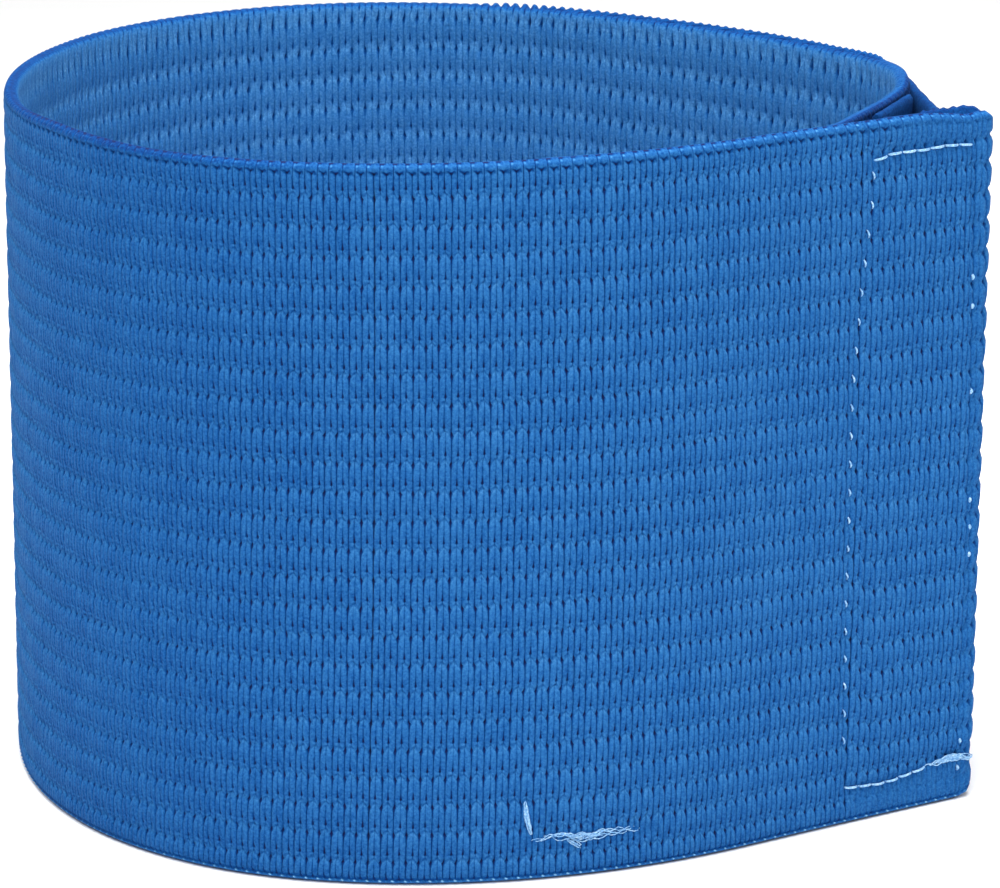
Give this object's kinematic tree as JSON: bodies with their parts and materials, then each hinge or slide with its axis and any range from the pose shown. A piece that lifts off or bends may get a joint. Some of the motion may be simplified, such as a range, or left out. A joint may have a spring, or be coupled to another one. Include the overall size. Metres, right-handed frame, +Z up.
{
  "type": "knitted elastic armband",
  "caption": "Wide ribbed elastic armband with an overlapping hook-and-loop closing, standing on its lower edge, for marking a team's captain.",
  "frame": {"origin": "middle of the ring's bounding box, at the lower edge that it stands on", "axes": "+Z up along the worn arm, +X towards the closing, -Y towards the front panel"},
  "size_m": [0.1068, 0.0998, 0.075],
  "materials": {
    "knitted_elastic": "matt blue crochet-knitted elastic with horizontal ribs",
    "woven_tape": "matt dark blue napped tape"
  },
  "bodies": {
    "root": {"elastic_band": "knitted_elastic", "hook_tape": "woven_tape", "loop_tape": "woven_tape"}
  },
  "joints": []
}
